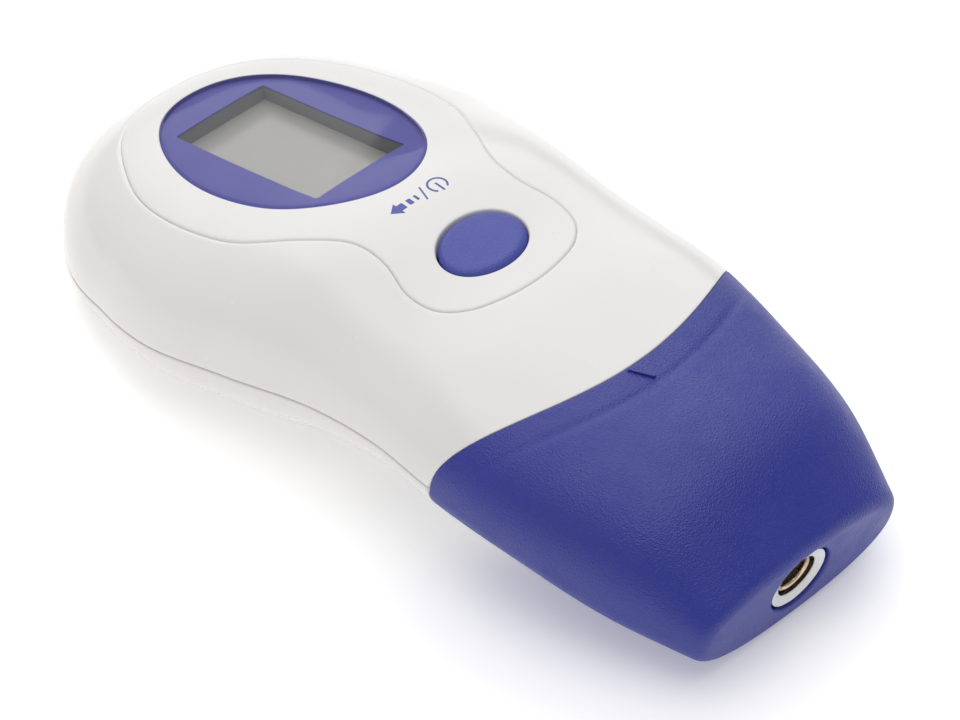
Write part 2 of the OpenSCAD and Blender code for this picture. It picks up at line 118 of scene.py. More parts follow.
def rise(s, inset=0.0):
    return (crown_z(s) - parting_z(s) - inset) * closing(s, inset, HEAD_PZ)


def drop(s, inset=0.0):
    return (parting_z(s) - belly_z(s) - inset) * closing(s, inset, HEAD_PZ)


def upper_n(s):
    return N_HEAD + (N_TIP - N_HEAD) * np.clip(s / BODY_L * 2 - 1, 0, 1)


def tilt(s):
    c = np.clip((s - TILT_S) / (BODY_L - TILT_S), 0, 1)
    return PITCH * c * c * (3 - 2 * c)


def section(s, b):
    """Unit section at angle b around it: across and up, each from -1 to 1."""
    c, d = np.cos(b), np.sin(b)
    n = np.where(d >= 0, upper_n(s), N_BELLY)
    r = (np.abs(c) ** n + np.abs(d) ** n) ** (-1 / n)
    return c * r, d * r


def skin(s, b, inset=0.0):
    """Points of the case's surface, moved inwards by an inset."""
    s, b, inset = np.broadcast_arrays(np.asarray(s, float), b, inset)
    u, v = section(s, b)
    h = v * np.where(v >= 0, rise(s, inset), drop(s, inset))
    return np.stack([s - MID_S + h * np.sin(tilt(s)), side(s, inset) * u,
                     parting_z(s) + h * np.cos(tilt(s))], axis=-1)


def outward(s, b):
    """Unit normals of the surface."""
    s = np.maximum(np.asarray(s, float), 1e-5)
    e = np.minimum(0.02, s / 2)
    ps = skin(s + e, b) - skin(s - e, b)
    pb = skin(s, b + 0.001) - skin(s, b - 0.001)
    n = np.cross(pb, ps)
    return n / np.linalg.norm(n, axis=-1, keepdims=True)


def seam(b):
    """Station of the cap's edge."""
    u, v = section(np.full_like(b, CAP_S), b)
    h = v * np.where(v >= 0, rise(CAP_S), drop(CAP_S))
    return CAP_S - CAP_BOW * u ** 2 - CAP_LEAN * (rise(CAP_S) - h)


MID_S = float(BODY_L + (rise(BODY_L) - END_R) * math.sin(PITCH)) / 2
TIP_Z = float(parting_z(BODY_L)) + 0.1


def around(s, y, upper=True):
    """Angle around the section of the surface point over (or under) a point of the plan."""
    n = upper_n(s) if upper else N_BELLY
    u = np.clip(y / side(s), -1, 1)
    v = (1 - np.abs(u) ** n) ** (1 / n)
    return np.arctan2(v, u) if upper else np.arctan2(-v, u) % (2 * math.pi)


def crown_at(s, y):
    """Height of the upper surface over a place of the plan."""
    return skin(s, around(s, y))[..., 2]


DECK_O = np.array([DECK_S - MID_S, 0, float(crown_z(DECK_S))])
DECK_X = np.array([math.cos(DECK_PITCH), 0, math.sin(DECK_PITCH)])
DECK_Z = np.array([-math.sin(DECK_PITCH), 0, math.cos(DECK_PITCH)])


def deck(p, q, h):
    """Row-frame points from display-frame ones: along, across, up."""
    p, q, h = np.broadcast_arrays(np.asarray(p, float), q, h)
    out = DECK_O + p[..., None] * DECK_X + h[..., None] * DECK_Z
    out[..., 1] = q
    return out


def over_deck(p, q):
    """Stations of the crown points straight over display-frame points."""
    s = DECK_S + np.asarray(p, float) * math.cos(DECK_PITCH)
    for _ in range(25):
        s = DECK_S + (p - (crown_at(s, q) - DECK_O[2]) * math.sin(DECK_PITCH)) / math.cos(DECK_PITCH)
    return s


BUTTON_DECK = float((BUTTON_S - DECK_S) * math.cos(DECK_PITCH)
                    + (crown_z(BUTTON_S) - crown_z(DECK_S)) * math.sin(DECK_PITCH))
BUTTON_H = float((crown_z(BUTTON_S) - crown_z(DECK_S)) * math.cos(DECK_PITCH)
                 - (BUTTON_S - DECK_S) * math.sin(DECK_PITCH))


def probe(r, turn, z):
    """Row-frame points from probe-frame ones: radius, angle around it, distance out of the end face."""
    r, turn, z = np.broadcast_arrays(np.asarray(r, float), turn, z)
    up = r * np.sin(turn)
    return np.stack([BODY_L - MID_S + z * math.cos(PITCH) + up * math.sin(PITCH), r * np.cos(turn),
                     TIP_Z - z * math.sin(PITCH) + up * math.cos(PITCH)], axis=-1)


def roll(d, r):
    """Depth of a rounded edge of radius r at a distance d from it."""
    d = np.clip(d, 0, r)
    return r - np.sqrt(np.maximum(r * r - (r - d) ** 2, 0))


# ---------------------------------------------------------------- meshes
def piece(name, verts, faces, material, body, nodes=(), slot=None, sharp=38, merge=0.002):
    mesh = bpy.data.meshes.new(name)
    mesh.from_pydata((np.asarray(verts) * MM).tolist(), [], [list(map(int, f)) for f in faces])
    bm = bmesh.new()
    bm.from_mesh(mesh)
    if merge:
        bmesh.ops.remove_doubles(bm, verts=bm.verts, dist=merge * MM)
    bmesh.ops.dissolve_degenerate(bm, edges=bm.edges, dist=1e-7)
    # slivers folded onto a collapsed edge keep one edge of their own: they close nothing
    flaps = [f for f in bm.faces if {1, 3} <= {len(e.link_faces) for e in f.edges}]
    bmesh.ops.delete(bm, geom=flaps, context="FACES")
    bmesh.ops.recalc_face_normals(bm, faces=bm.faces)
    bm.to_mesh(mesh)
    bm.free()
    mesh.polygons.foreach_set("use_smooth", [True] * len(mesh.polygons))
    mesh.set_sharp_from_angle(angle=math.radians(sharp))
    obj = bpy.data.objects.new(name, mesh)
    bpy.context.scene.collection.objects.link(obj)
    mesh.materials.append(material)
    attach(obj, body)
    if nodes:
        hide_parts(*nodes)
    return obj


def gather(parts):
    """One list of points and one of faces from several."""
    verts, faces, at = [], [], 0
    for v, f in parts:
        v = np.asarray(v).reshape(-1, 3)
        verts.append(v)
        faces += [[i + at for i in face] for face in f]
        at += len(v)
    return np.concatenate(verts), faces


def grid_faces(rows, cols, wrap=False):
    """Quads between rings of points; wrap joins the last ring to the first."""
    out = []
    for i in range(rows if wrap else rows - 1):
        for j in range(cols):
            k, m = (j + 1) % cols, (i + 1) % rows
            out.append([i * cols + j, i * cols + k, m * cols + k, m * cols + j])
    return out


def stack(rings, cap_first=False, cap_last=False, wrap=False):
    """A surface through rings of equal length; its ends may close on their middle points."""
    rings = [np.asarray(r) for r in rings]
    cols = len(rings[0])
    verts = list(np.concatenate(rings))
    faces = grid_faces(len(rings), cols, wrap=wrap)
    last = (len(rings) - 1) * cols
    for wanted, first, ring in ((cap_first, 0, rings[0]), (cap_last, last, rings[-1])):
        if wanted:
            verts.append(ring.mean(axis=0))
            faces += [[len(verts) - 1, first + j, first + (j + 1) % cols] for j in range(cols)]
    return np.array(verts), faces


def lathe(profile, place, cols):
    """A turned solid from (radius, height) points; place(r, turn, z) puts them in the row frame."""
    turn = np.arange(cols) * 2 * math.pi / cols
    return stack([place(np.full(cols, r), turn, z) for r, z in profile], wrap=True)


def upright(x, y):
    """Places a turned solid on a vertical axis."""
    def place(r, turn, z):
        r, turn, z = np.broadcast_arrays(np.asarray(r, float), turn, z)
        return np.stack([x + r * np.cos(turn), y + r * np.sin(turn), z], axis=-1)
    return place


def inside(loop, pts):
    """Which points lie in a closed line."""
    x, y = pts[:, 0], pts[:, 1]
    out = np.zeros(len(pts), bool)
    for (x0, y0), (x1, y1) in zip(loop, np.roll(loop, -1, axis=0)):
        if y0 != y1:
            out ^= ((y0 > y) != (y1 > y)) & (x < (x1 - x0) * (y - y0) / (y1 - y0) + x0)
    return out


def distance(loop, pts):
    """Distance of points from a closed line."""
    a, b = loop, np.roll(loop, -1, axis=0)
    d = b - a
    best = np.full(len(pts), 1e9)
    for p, v in zip(a, d):
        w = pts - p
        t = np.clip((w @ v) / max(v @ v, 1e-12), 0, 1)
        best = np.minimum(best, np.hypot(*(w - t[:, None] * v).T))
    return best


def resample(loop, step):
    """A closed line through the same places with even steps."""
    loop = np.vstack([loop, loop[:1]])
    run = np.concatenate([[0], np.cumsum(np.hypot(*np.diff(loop, axis=0).T))])
    at = np.linspace(0, run[-1], max(int(run[-1] / step), 8), endpoint=False)
    return np.stack([np.interp(at, run, loop[:, k]) for k in (0, 1)], axis=1)


def offset(loop, d):
    """A closed counter-clockwise line moved outwards by d."""
    t = np.roll(loop, -1, axis=0) - np.roll(loop, 1, axis=0)
    n = np.stack([t[:, 1], -t[:, 0]], axis=1)
    return loop + d * n / np.hypot(*n.T)[:, None]


def triangulate(loops, rows, grid, clear):
    """Triangles inside loops[0] and outside the other loops, with rows as edges and grid points between."""
    pts, edges = [], []
    for line, closed in [(loop, True) for loop in loops] + rows:
        first = len(pts)
        pts += [tuple(p) for p in line]
        n = len(line)
        edges += [(first + i, first + (i + 1) % n) for i in range(n if closed else n - 1)]
    tree = KDTree(len(pts))
    for i, p in enumerate(pts):
        tree.insert((p[0], p[1], 0), i)
    tree.balance()
    keep = inside(loops[0], grid)
    for hole in loops[1:]:
        keep &= ~inside(hole, grid)
    pts += [tuple(p) for p in grid[keep] if tree.find((p[0], p[1], 0))[2] > clear]
    verts, _, faces, *_ = delaunay_2d_cdt([Vector(p) for p in pts], edges, [], 0, 1e-7)
    verts = np.array([tuple(v) for v in verts])
    faces = np.array([f for f in faces if len(f) == 3])
    middle = verts[faces].mean(axis=1)
    keep = inside(loops[0], middle)
    for hole in loops[1:]:
        keep &= ~inside(hole, middle)
    return verts, faces[keep]


def thick(outer, inner, faces):
    """A closed solid from a surface, the same surface moved inwards, and walls along their edges."""
    n = len(outer)
    count = {}
    for f in faces:
        for i in range(3):
            e = (f[i], f[(i + 1) % 3])
            count[e] = count.get(e, 0) + 1
    rim = [e for e in count if (e[1], e[0]) not in count]
    out = [list(f) for f in faces] + [[c + n, b + n, a + n] for a, b, c in faces]
    out += [[b, a, a + n, b + n] for a, b in rim]
    return np.concatenate([outer, inner]), out


def oval(l, w, steps=160):
    t = np.arange(steps) * 2 * math.pi / steps
    return np.stack([l / 2 * np.cos(t), w / 2 * np.sin(t)], axis=1)


def rounded_box(l, w, r):
    p, q = l / 2 - r, w / 2 - r
    out = []
    for k, (x, y) in enumerate(((p, q), (-p, q), (-p, -q), (p, -q))):
        t = np.linspace(0, math.pi / 2, 8) + k * math.pi / 2
        out.append(np.stack([x + r * np.cos(t), y + r * np.sin(t)], axis=1))
    return np.concatenate(out)


# (s, b) to and from a flat sheet on which triangles keep their shape
HEAD_RUN, AROUND = 38.0, 19.0


def to_sheet(s, b):
    head = HEAD_RUN * np.arccos(np.clip(1 - s / HEAD_S, 0, 1)) * 2 / math.pi
    return np.stack([np.where(s < HEAD_S, head, HEAD_RUN + s - HEAD_S), b * AROUND], axis=-1)


def from_sheet(p):
    s = np.where(p[:, 0] < HEAD_RUN, HEAD_S * (1 - np.cos(np.clip(p[:, 0] / HEAD_RUN, 0, 1) * math.pi / 2)),
                 HEAD_S + p[:, 0] - HEAD_RUN)
    return s, p[:, 1] / AROUND


def smooth_loop(points, step):
    """A smooth closed line through points."""
    p = np.array(points, float)
    n = len(p)
    out = []
    for i in range(n):
        a, b, c, d = p[i - 1], p[i], p[(i + 1) % n], p[(i + 2) % n]
        ab, bc, cd = (math.sqrt(np.hypot(*(v - w))) for v, w in ((b, a), (c, b), (d, c)))
        m1 = (c - b) + bc * ((b - a) / ab - (c - a) / (ab + bc))
        m2 = (c - b) + bc * ((d - c) / cd - (d - b) / (bc + cd))
        for t in np.arange(12) / 12:
            out.append((2 * t ** 3 - 3 * t ** 2 + 1) * b + (t ** 3 - 2 * t ** 2 + t) * m1
                       + (3 * t ** 2 - 2 * t ** 3) * c + (t ** 3 - t ** 2) * m2)
    return resample(np.array(out), step)


gourd_half = [(u * BODY_L, v * BODY_W) for u, v in GOURD]
gourd_mirror = [(s, -y) for s, y in gourd_half[1:-1]]
gourd_loop = smooth_loop(gourd_half[:1] + gourd_mirror + gourd_half[-1:] + gourd_half[-2:0:-1], 0.45)


def plan_to_sheet(loop, upper=True):
    """A plan outline on the sheet of the upper or the lower surface."""
    return to_sheet(loop[:, 0], around(loop[:, 0], loop[:, 1], upper))


def deck_to_sheet(loop, at=0.0):
    """A display-frame outline, moved along by at, on the sheet."""
    s = over_deck(loop[:, 0] + at, loop[:, 1])
    return to_sheet(s, around(s, loop[:, 1]))


GRID = 0.8


def half_edges(b0, b1):
    """Outline on the sheet of half the case, up to the cap's edge, and rows of points along its edges."""
    d_rows = (0.03, 0.08, 0.15, 0.25)
    head = HEAD_S * (1 - np.cos(np.linspace(0, math.pi / 2, 60)))
    s_all = np.concatenate([head, np.arange(HEAD_S + GRID, 74, GRID)])
    b_all = np.linspace(b0, b1, 90)
    b_pole = np.linspace(b0, b1, 32)[1:-1]
    height = rise if b0 == 0 else drop

    def low(edge_b, h):
        """Line at a height h off the parting line, on one side."""
        s = s_all[height(s_all) > 1.6 * max(h, 1e-3)] if h else s_all
        n = upper_n(s) if b0 == 0 else np.full_like(s, N_BELLY)
        v = h / np.maximum(height(s), 1e-6)
        u = (1 - np.minimum(v, 1) ** n) ** (1 / n)
        lean = np.arctan2(v, u)
        b = edge_b + lean if edge_b == b0 else edge_b - lean
        keep = s < seam(b) - (0.4 if h else 0)
        return to_sheet(s[keep], b[keep])

    front = to_sheet(seam(b_all), b_all)
    pole = to_sheet(np.zeros_like(b_pole), b_pole)[::-1]
    loop = np.vstack([low(b0, 0), front, low(b1, 0)[::-1], pole])
    rows = [(low(e, h), False) for e in (b0, b1) for h in d_rows]
    rows += [(to_sheet(np.full_like(b_pole, s), b_pole), False) for s in (1e-4, 6e-4, 2.5e-3)]
    rows += [(to_sheet(seam(b_all[2:-2]) - d, b_all[2:-2]), False) for d in d_rows]
    return loop, rows


def sheet_grid(v0, v1, step=GRID):
    """Staggered points over the sheet between two edges."""
    u, v = np.meshgrid(np.arange(0.5, HEAD_RUN + 60, step), np.arange(v0, v1, step))
    u[::2] += step / 2
    return np.stack([u.ravel(), v.ravel()], axis=1)


def off_parting(s, b):
    """Height off the parting line."""
    _, v = section(s, b)
    return np.abs(v) * np.where(v >= 0, rise(s), drop(s))


EDGE, MOUTH_EDGE = 0.25, 0.14


def shell_surface(sheet_pts):
    """Surface points of a case half with its edges rolled at the parting line and at the cap."""
    s, b = from_sheet(sheet_pts)
    depth = np.maximum(roll(off_parting(s, b), EDGE), roll(seam(b) - s, MOUTH_EDGE))
    return s, b, depth


# ---------------------------------------------------------------- materials
def material(name):
    """A new material with its node tree and its main shader."""
    mat = bpy.data.materials.new(name)
    mat.use_nodes = True
    nt = mat.node_tree
    return mat, nt, nt.nodes["Principled BSDF"]


def node(nt, kind, **values):
    n = nt.nodes.new(kind)
    for key, value in values.items():
        if key in n.inputs:
            n.inputs[key].default_value = value
        else:
            setattr(n, key, value)
    return n


def texture(nt, kind, **values):
    """A 3-D texture in the object's own coordinates; its scale is in cells per metre."""
    coords = nt.nodes.get("coords") or node(nt, "ShaderNodeTexCoord", name="coords")
    n = node(nt, kind, **values)
    nt.links.new(coords.outputs["Object"], n.inputs["Vector"])
    return n


def ramp(nt, source, low, high, start=0.0, end=1.0):
    """Maps start to end onto low to high."""
    n = node(nt, "ShaderNodeMapRange")
    for key, value in (("From Min", start), ("From Max", end), ("To Min", low), ("To Max", high)):
        n.inputs[key].default_value = value
    nt.links.new(source, n.inputs["Value"])
    return n.outputs["Result"]


def tint(nt, factor, dark, light):
    """A colour between two."""
    n = node(nt, "ShaderNodeMix", data_type="RGBA")
    n.inputs["A"].default_value = (*dark, 1)
    n.inputs["B"].default_value = (*light, 1)
    nt.links.new(factor, n.inputs["Factor"])
    return n.outputs["Result"]


def bump(nt, shader, height, strength, distance):
    """Adds a bump on top of any that the shader already has."""
    n = node(nt, "ShaderNodeBump", Strength=strength, Distance=distance * MM)
    nt.links.new(height, n.inputs["Height"])
    if shader.inputs["Normal"].links:
        nt.links.new(shader.inputs["Normal"].links[0].from_socket, n.inputs["Normal"])
    nt.links.new(n.outputs["Normal"], shader.inputs["Normal"])


def plastic(name, colour, rough, vary, grain=0.0, grain_size=0.35, specular=0.5, leather=False):
    """Moulded plastic: slight tone and gloss variation and an optional grain of a size in millimetres."""
    mat, nt, sh = material(name)
    tone = texture(nt, "ShaderNodeTexNoise", Scale=60.0, Detail=3.0)
    dark, light = [c * (1 - vary) for c in colour], [min(c * (1 + vary), 1) for c in colour]
    shade = ramp(nt, tone.outputs["Fac"], 0, 1, 0.3, 0.7)
    nt.links.new(tint(nt, shade, dark, light), sh.inputs["Base Color"])
    smear = texture(nt, "ShaderNodeTexNoise", Scale=220.0, Detail=5.0, Roughness=0.6)
    nt.links.new(ramp(nt, smear.outputs["Fac"], rough * 0.8, rough * 1.25, 0.3, 0.7), sh.inputs["Roughness"])
    sh.inputs["Specular IOR Level"].default_value = specular
    cells_per_metre = 1000.0 / grain_size
    if leather:
        cells = texture(nt, "ShaderNodeTexVoronoi", Scale=cells_per_metre, feature="SMOOTH_F1",
                        Smoothness=0.6, Randomness=1.0)
        fine = texture(nt, "ShaderNodeTexNoise", Scale=1.6 * cells_per_metre, Detail=3.0)
        bump(nt, sh, cells.outputs["Distance"], grain, 0.06)
        bump(nt, sh, fine.outputs["Fac"], grain * 0.6, 0.03)
    elif grain:
        fine = texture(nt, "ShaderNodeTexNoise", Scale=cells_per_metre, Detail=2.0, Roughness=0.5)
        bump(nt, sh, fine.outputs["Fac"], grain, 0.05)
    return mat


def metal(name, colour, rough, brushed=0.0):
    """Bare metal with a faint mottle and fine marks."""
    mat, nt, sh = material(name)
    sh.inputs["Metallic"].default_value = 1.0
    tone = texture(nt, "ShaderNodeTexNoise", Scale=900.0, Detail=4.0)
    nt.links.new(tint(nt, tone.outputs["Fac"], [c * 0.85 for c in colour], colour), sh.inputs["Base Color"])
    nt.links.new(ramp(nt, tone.outputs["Fac"], rough * 0.7, rough * 1.3, 0.3, 0.7), sh.inputs["Roughness"])
    fine = texture(nt, "ShaderNodeTexNoise", Scale=5000.0, Detail=2.0)
    bump(nt, sh, fine.outputs["Fac"], 0.1 + brushed, 0.02)
    return mat


WHITE = plastic("white_gloss", (0.82, 0.807, 0.792), rough=0.22, vary=0.008)
PANEL = plastic("white_panel", (0.825, 0.812, 0.797), rough=0.34, vary=0.008, grain=0.06, grain_size=0.22)
PROBE_WHITE = plastic("white_probe", (0.84, 0.85, 0.85), rough=0.25, vary=0.01)
CAP_BLUE = plastic("cap_blue", (0.018, 0.029, 0.285), rough=0.38, vary=0.05, grain=1.0, grain_size=0.19,
                   specular=0.55, leather=True)
BUTTON_BLUE = plastic("button_blue", (0.062, 0.078, 0.395), rough=0.4, vary=0.05, grain=0.8, grain_size=0.19,
                      leather=True)
MASK_BLUE = plastic("mask_blue", (0.104, 0.101, 0.37), rough=0.4, vary=0.02, specular=0.1)
INK = plastic("ink_blue", (0.07, 0.085, 0.40), rough=0.35, vary=0.06, grain=0.05, grain_size=0.1)
DARK = plastic("dark_plastic", (0.10, 0.10, 0.105), rough=0.5, vary=0.1, grain=0.1, grain_size=0.2)
FRAME_GREY = plastic("frame_grey", (0.19, 0.195, 0.21), rough=0.5, vary=0.05, grain=0.1, grain_size=0.2)
TRAY = plastic("tray_grey", (0.45, 0.45, 0.46), rough=0.45, vary=0.04, grain=0.1)
STEEL = metal("steel", (0.62, 0.62, 0.63), rough=0.28, brushed=0.05)
BRASS = metal("brass", (0.72, 0.52, 0.24), rough=0.3)
GOLD = metal("gold_plate", (0.83, 0.62, 0.28), rough=0.22)
CHAMPAGNE = metal("champagne_metal", (0.78, 0.62, 0.45), rough=0.25)
# painted shade: a dark metal for the ring in the gap around the tube's lip and the sheet over its bore,
# standing in for their shade
PAINTED_SHADE_METAL = metal("painted_shade_metal", (0.07, 0.055, 0.045), rough=0.3)
EPOXY = plastic("black_epoxy", (0.012, 0.012, 0.013), rough=0.4, vary=0.2, grain=0.15, grain_size=0.1)
CERAMIC = plastic("component_body", (0.42, 0.33, 0.22), rough=0.4, vary=0.2, grain=0.1, grain_size=0.1)
RUBBER = plastic("zebra_rubber", (0.30, 0.10, 0.08), rough=0.6, vary=0.1, grain=0.2, grain_size=0.1)
FILM = plastic("flex_film", (0.45, 0.20, 0.04), rough=0.3, vary=0.1, grain=0.05)
REFLECT = plastic("reflector", (0.75, 0.75, 0.72), rough=0.5, vary=0.02, grain=0.1, grain_size=0.1)


def lens_clear():
    """A clear glossy sheet: it reflects at its surface and lets through what is under it."""
    mat, nt, sh = material("lens_clear")
    nt.nodes.remove(sh)
    out = nt.nodes["Material Output"]
    smear = texture(nt, "ShaderNodeTexNoise", Scale=160.0, Detail=4.0)
    fresnel = node(nt, "ShaderNodeFresnel", IOR=1.3)
    gloss = node(nt, "ShaderNodeBsdfGlossy")
    nt.links.new(ramp(nt, smear.outputs["Fac"], 0.05, 0.12, 0.3, 0.7), gloss.inputs["Roughness"])
    clear = node(nt, "ShaderNodeBsdfTransparent")
    clear.inputs["Color"].default_value = (0.97, 0.97, 0.98, 1)
    mix = node(nt, "ShaderNodeMixShader")
    geometry = node(nt, "ShaderNodeNewGeometry")
    front = node(nt, "ShaderNodeMath", operation="MULTIPLY_ADD")
    nt.links.new(geometry.outputs["Backfacing"], front.inputs[0])
    front.inputs[1].default_value, front.inputs[2].default_value = -1.0, 1.0
    shine = node(nt, "ShaderNodeMath", operation="MULTIPLY")
    nt.links.new(front.outputs[0], shine.inputs[0])
    nt.links.new(fresnel.outputs["Fac"], shine.inputs[1])
    nt.links.new(shine.outputs[0], mix.inputs["Fac"])
    nt.links.new(clear.outputs["BSDF"], mix.inputs[1])
    nt.links.new(gloss.outputs["BSDF"], mix.inputs[2])
    nt.links.new(mix.outputs["Shader"], out.inputs["Surface"])
    return mat


def lcd_glass():
    """Grey-green liquid crystal glass with a faint mottle of its rear polariser."""
    mat, nt, sh = material("lcd_glass")
    mottle = texture(nt, "ShaderNodeTexNoise", Scale=2500.0, Detail=2.0)
    slow = texture(nt, "ShaderNodeTexNoise", Scale=70.0, Detail=2.0)
    both = node(nt, "ShaderNodeMix", data_type="FLOAT")
    both.inputs["Factor"].default_value = 0.35
    nt.links.new(slow.outputs["Fac"], both.inputs["A"])
    nt.links.new(mottle.outputs["Fac"], both.inputs["B"])
    tone = ramp(nt, both.outputs["Result"], 0, 1, 0.3, 0.7)
    nt.links.new(tint(nt, tone, (0.345, 0.34, 0.31), (0.40, 0.395, 0.36)), sh.inputs["Base Color"])
    nt.links.new(ramp(nt, slow.outputs["Fac"], 0.2, 0.3), sh.inputs["Roughness"])
    return mat


def board_green():
    """Solder mask over copper tracks."""
    mat, nt, sh = material("circuit_board")
    tracks = texture(nt, "ShaderNodeTexBrick", Scale=260.0)
    tracks.inputs["Color1"].default_value = (0.006, 0.075, 0.022, 1)
    tracks.inputs["Color2"].default_value = (0.008, 0.09, 0.028, 1)
    tracks.inputs["Mortar"].default_value = (0.02, 0.16, 0.05, 1)
    tracks.inputs["Mortar Size"].default_value = 0.03
    nt.links.new(tracks.outputs["Color"], sh.inputs["Base Color"])
    smear = texture(nt, "ShaderNodeTexNoise", Scale=400.0, Detail=3.0)
    nt.links.new(ramp(nt, smear.outputs["Fac"], 0.25, 0.4), sh.inputs["Roughness"])
    bump(nt, sh, tracks.outputs["Fac"], 0.3, 0.03)
    return mat


LENS, LCD, BOARD = lens_clear(), lcd_glass(), board_green()
INNER = {"lcd_frame": FRAME_GREY, "lcd_panel": LCD, "lcd_reflector": REFLECT, "zebra_strips": RUBBER,
         "main_pcb": BOARD, "controller_chip": EPOXY, "board_components": CERAMIC, "crystal": STEEL,
         "hall_sensor": EPOXY, "switch_base": DARK, "switch_plunger": DARK, "buzzer": BRASS,
         "battery_tray": TRAY, "coin_cell": STEEL, "positive_contact": GOLD, "negative_contact": GOLD,
         "pcb_screws": STEEL, "sensor_can": STEEL, "sensor_holder": BRASS, "sensor_flex": FILM,
         "cap_magnet": STEEL}
for name, mat in INNER.items():
    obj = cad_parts[name]
    obj.data.materials.clear()
    obj.data.materials.append(mat)
    obj.data.polygons.foreach_set("material_index", [0] * len(obj.data.polygons))

# ---------------------------------------------------------------- upper case half and front panel
# radii of the panel's, the lens seat's and the button hole's edges, and the rows of points along them
LIP, SEAT_EDGE, BUTTON_EDGE = 0.32, 0.12, 0.28
NEAR = (0.05, 0.12, 0.2, 0.32, 0.55)
CLEAR = 0.3


def plan_of(points):
    """Station and y of row-frame points."""
    return np.stack([points[:, 0] + MID_S, points[:, 1]], axis=1)


def upper_case():
    loop, rows = half_edges(0.0, math.pi)
    hole = plan_to_sheet(gourd_loop)
    rows += [(plan_to_sheet(offset(gourd_loop, d)), True) for d in NEAR]
    pts, faces = triangulate([loop, hole], rows, sheet_grid(0, math.pi * AROUND), CLEAR)
    s, b, depth = shell_surface(pts)
    outer = skin(s, b)
    near_top = (np.abs(b - math.pi / 2) < 1.3) & (s < 70)
    depth = np.where(near_top, np.maximum(depth, roll(distance(gourd_loop, plan_of(outer)), LIP)), depth)
    outer = outer - outward(s, b) * depth[:, None]
    inner = skin(np.maximum(s, WALL), b, WALL)
    return thick(outer, inner, faces)


def front_panel():
    edge = gourd_loop
    lens_hole = oval(LENS_L + 0.04, LENS_W + 0.04)
    button_hole = oval(BUTTON_L + 0.4, BUTTON_W + 0.4, 110)
    rows = [(plan_to_sheet(offset(edge, -d)), True) for d in NEAR]
    rows += [(deck_to_sheet(offset(lens_hole, d)), True) for d in NEAR]
    rows += [(deck_to_sheet(offset(button_hole, d), BUTTON_DECK), True) for d in NEAR]
    loops = [plan_to_sheet(edge), deck_to_sheet(lens_hole), deck_to_sheet(button_hole, BUTTON_DECK)]
    pts, faces = triangulate(loops, rows, sheet_grid(0, math.pi * AROUND, 0.7), CLEAR)
    s, b = from_sheet(pts)
    outer = skin(s, b)
    on_deck = np.stack([(outer - DECK_O) @ DECK_X, outer[:, 1]], axis=1)
    depth = roll(distance(edge, plan_of(outer)), LIP)
    depth = np.maximum(depth, roll(distance(lens_hole, on_deck), SEAT_EDGE))
    depth = np.maximum(depth, roll(distance(button_hole + [BUTTON_DECK, 0], on_deck), BUTTON_EDGE))
    outer = outer - outward(s, b) * depth[:, None]
    # the walls of its three edges run along the display's own direction
    return thick(outer, outer - DECK_Z * PANEL_T, faces)


piece("case_upper", *upper_case(), WHITE, "case", ["upper_shell"], "white_case")
piece("panel_front", *front_panel(), PANEL, "case", ["front_panel"], "white_panel")

# ---------------------------------------------------------------- lower case half, door and screws
REST_EDGE, HOLE_EDGE, DOOR_GAP, TAB_R = 0.35, 0.24, 0.12, 3.4
SCREW_HEAD_R, SHANK_R, HEAD_HOLE_R, SHANK_HOLE_R, BOSS_R = 1.9, 0.9, 2.1, 1.1, 2.9
THREAD_PITCH, THREAD_DEPTH, CASE_HEAD_H, HEAD_SEAT = 0.44, 0.18, 1.3, 2.38


def flat_foot(p):
    """The belly's flat, with a soft edge."""
    z = p[:, 2]
    p = p.copy()
    p[:, 2] = np.maximum(0.5 * (z + np.sqrt(z * z + REST_EDGE ** 2)) - 0.02, 0.0)
    return p


def belly_at(x, y):
    """Height of the underside at a place of the plan."""
    return float(skin(np.array([x]), around(np.array([x]), np.array([y]), False))[0, 2])


def door_loop(grow):
    """The door's outline: a disc with a tab for its screw."""
    reach = math.asin(TAB_R / DOOR_R)
    big = np.linspace(reach, 2 * math.pi - reach, 120)
    small = np.linspace(-math.pi / 2, math.pi / 2, 40)
    r, tab = DOOR_R + grow, TAB_R + grow
    loop = np.concatenate([np.stack([CELL_S + r * np.cos(big), r * np.sin(big)], axis=1),
                           np.stack([DOOR_SCREW_S + tab * np.cos(small), tab * np.sin(small)], axis=1)])
    return resample(loop, 0.5)


def circle(x, y, r, steps=48):
    t = np.arange(steps) * 2 * math.pi / steps
    return np.stack([x + r * np.cos(t), y + r * np.sin(t)], axis=1)


